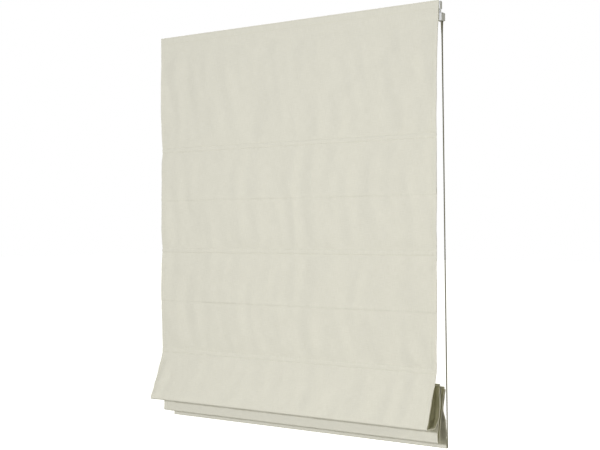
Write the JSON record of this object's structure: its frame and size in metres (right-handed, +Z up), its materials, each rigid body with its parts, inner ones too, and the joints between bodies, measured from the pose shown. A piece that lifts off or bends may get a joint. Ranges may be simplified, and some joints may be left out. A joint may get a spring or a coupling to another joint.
{
  "type": "roman blind",
  "caption": "Roman blind with a bead-chain drive, hung under a slim ceiling rail and drawn partly up into two soft folds above a weighted flap.",
  "frame": {"origin": "on the ceiling plane, midway between the two bracket screws and over the middle of the head rail", "axes": "+X to the chain side, +Y to the window, +Z up out of the ceiling mount"},
  "size_m": [1.0168, 0.1197, 1.214],
  "materials": {
    "cloth": "matt plain weave, ivory",
    "pocket_tape": "matt woven tape",
    "hook_tape": "fine hooked tape",
    "rail_metal": "powder-coated satin",
    "grey_plastic": "moulded, fine texture",
    "white_plastic": "moulded",
    "steel": "zinc plated",
    "ring_plastic": "translucent white",
    "lift_cord": "braided cord",
    "rod_fibreglass": "drawn fibreglass",
    "bead_chain": "small metal beads"
  },
  "bodies": {
    "root": {"bead_chain": "bead_chain", "cover_screws": "steel", "drive_cover": "grey_plastic", "drive_housing": "grey_plastic", "drum_cradle_1": "white_plastic", "drum_cradle_2": "white_plastic", "drum_cradle_3": "white_plastic", "fabric_panel": "cloth", "head_rail": "rail_metal", "hook_tape": "hook_tape", "left_bracket": "steel", "left_end_cap": "grey_plastic", "lift_cord_1": "lift_cord", "lift_cord_2": "lift_cord", "lift_cord_3": "lift_cord", "loop_tape": "pocket_tape", "right_bracket": "steel", "right_end_cap": "grey_plastic", "shaft_bearing": "grey_plastic"},
    "drive": {"drive_shaft": "steel", "chain_wheel": "white_plastic", "brake_spring": "steel", "shaft_bush": "white_plastic", "cord_drum_1": "white_plastic", "cord_drum_2": "white_plastic", "cord_drum_3": "white_plastic", "cord_winding_1": "lift_cord", "cord_winding_2": "lift_cord", "cord_winding_3": "lift_cord"},
    "upper_rod": {"rod_1": "rod_fibreglass", "rod_pocket_1": "pocket_tape", "rod_rings_1": "ring_plastic"},
    "middle_rod": {"rod_2": "rod_fibreglass", "rod_pocket_2": "pocket_tape", "rod_rings_2": "ring_plastic"},
    "stack": {"rod_3": "rod_fibreglass", "rod_pocket_3": "pocket_tape", "rod_rings_3": "ring_plastic", "rod_4": "rod_fibreglass", "rod_pocket_4": "pocket_tape", "rod_rings_4": "ring_plastic", "rod_5": "rod_fibreglass", "rod_pocket_5": "pocket_tape", "rod_rings_5": "ring_plastic", "cord_stops": "white_plastic", "bottom_bar": "rail_metal", "left_bar_cap": "grey_plastic", "right_bar_cap": "grey_plastic"}
  },
  "joints": [
    {"name": "stack_lift", "type": "slide", "parent": "root", "child": "stack", "axis": [0, 0, 1], "range_m": [0, 0.83], "deforming": ["fabric_panel", "lift_cord_1", "lift_cord_2", "lift_cord_3"]},
    {"name": "upper_rod_lift", "type": "slide", "parent": "root", "child": "upper_rod", "axis": [0, 0, 1], "range_m": [0, 0.2731]},
    {"name": "middle_rod_lift", "type": "slide", "parent": "root", "child": "middle_rod", "axis": [0, 0, 1], "range_m": [0, 0.5518]},
    {"name": "drive_turn", "type": "hinge", "parent": "root", "child": "drive", "pos_m": [0, 0.005, -0.045], "axis": [1, 0, 0], "range_deg": [0, 5800.4]}
  ],
  "couplings": [
    {"joint": "upper_rod_lift", "follows": "stack_lift", "ratio": 0.32841},
    {"joint": "middle_rod_lift", "follows": "stack_lift", "ratio": 0.6642},
    {"joint": "drive_turn", "follows": "stack_lift", "rad_per_m": 121.95}
  ]
}
